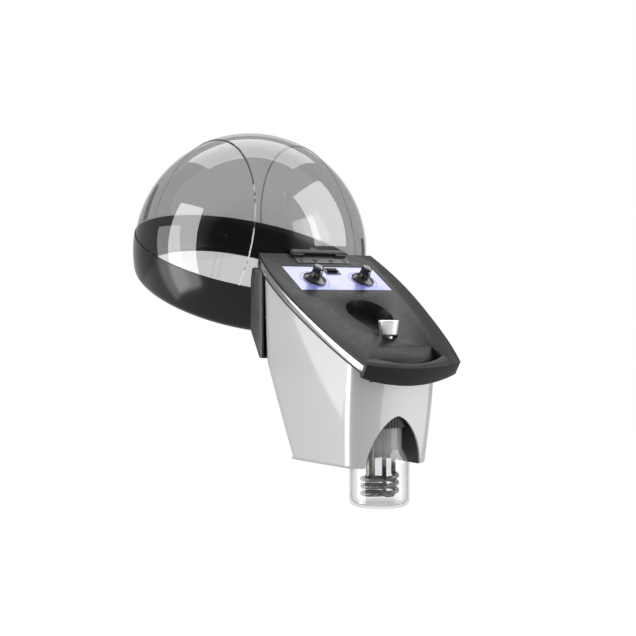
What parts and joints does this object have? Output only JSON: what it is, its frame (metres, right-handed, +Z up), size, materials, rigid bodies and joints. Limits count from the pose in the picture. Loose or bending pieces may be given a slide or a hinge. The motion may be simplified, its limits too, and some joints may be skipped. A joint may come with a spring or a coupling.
{
  "type": "salon hair steamer head",
  "caption": "Hair steamer head: globe hood with smoked dome tilting behind a silver housing with sloping black control panel, filler well, hand grip and glass boiler jar below.",
  "frame": {"origin": "centre of the pole socket's mouth, level with the underside of the housing", "axes": "+Z up along the pole socket, -Y toward the operator and the control panel's front edge, +Y toward the hood, +X to the operator's right"},
  "size_m": [0.3799, 0.6356, 0.552],
  "materials": {
    "silver_shell": "satin",
    "panel_black": "satin",
    "gloss_black": "gloss",
    "cover_black": "satin",
    "bay_grey": "satin",
    "bright_trim": "polished",
    "label_blue": "printed",
    "knob_black": "gloss",
    "satin_silver": "satin",
    "smoked_dome": "clear",
    "jar_glass": "clear",
    "boiler_aluminium": "cast",
    "heater_steel": "scaled",
    "steel": "plated",
    "rubber_black": "matte",
    "duct_plastic": "plain",
    "electrics_cream": "plain",
    "switch_black": "gloss"
  },
  "bodies": {
    "housing": {"housing_shell": "silver_shell", "bay_liner": "bay_grey", "bottom_plate": "cover_black", "control_panel": "panel_black", "side_trim_left": "bright_trim", "side_trim_right": "bright_trim", "fascia_label": "label_blue", "timer_body": "electrics_cream", "power_regulator": "electrics_cream", "switch_body": "switch_black", "filler_tube": "duct_plastic", "boiler_head": "boiler_aluminium", "head_gasket": "rubber_black", "heater_coil": "heater_steel", "heater_nuts": "steel", "level_probe": "steel", "thermal_cutout": "electrics_cream", "chassis_plate": "steel", "chassis_posts": "steel", "pole_socket": "steel", "pole_grub_screw": "steel", "power_inlet": "switch_black", "terminal_block": "electrics_cream", "steam_duct": "duct_plastic", "port_seal": "rubber_black", "rear_cover": "cover_black", "hinge_base": "cover_black", "hinge_pin": "steel", "hinge_screws": "cover_black", "cover_screws": "steel", "base_screws": "steel"},
    "hood": {"hood_band": "gloss_black", "hood_dome": "smoked_dome", "hood_bracket": "cover_black", "bracket_screws": "steel", "steam_diffuser": "gloss_black"},
    "timer_dial": {"timer_knob": "knob_black", "timer_shaft": "steel"},
    "power_dial": {"power_knob": "knob_black", "power_shaft": "steel"},
    "rocker": {"rocker_button": "switch_black"},
    "plug": {"filler_plug": "satin_silver"},
    "jar": {"glass_jar": "jar_glass"},
    "collar": {"jar_collar": "cover_black"}
  },
  "joints": [
    {"name": "hood_tilt", "type": "hinge", "parent": "housing", "child": "hood", "pos_m": [0, 0.07921, 0.29632], "axis": [1, 0, 0], "range_deg": [0, 25]},
    {"name": "timer_turn", "type": "hinge", "parent": "housing", "child": "timer_dial", "pos_m": [-0.0418, 0.02239, 0.25519], "axis": [0, 0.5344, -0.8453], "range_deg": [0, 300]},
    {"name": "power_turn", "type": "hinge", "parent": "housing", "child": "power_dial", "pos_m": [0.0418, 0.02239, 0.25519], "axis": [0, 0.5344, -0.8453], "range_deg": [0, 270]},
    {"name": "rocker_press", "type": "hinge", "parent": "housing", "child": "rocker", "pos_m": [0, 0.04375, 0.26538], "axis": [1, 0, 0], "range_deg": [0, 12]},
    {"name": "plug_lift", "type": "slide", "parent": "housing", "child": "plug", "axis": [0, 0, 1], "range_m": [0, 0.06]},
    {"name": "jar_drop", "type": "slide", "parent": "housing", "child": "jar", "axis": [0, 0, -1], "range_m": [0, 0.13]},
    {"name": "collar_turn", "type": "hinge", "parent": "jar", "child": "collar", "pos_m": [0, -0.077, 0.06], "axis": [0, 0, -1], "range_deg": [0, 90]}
  ]
}
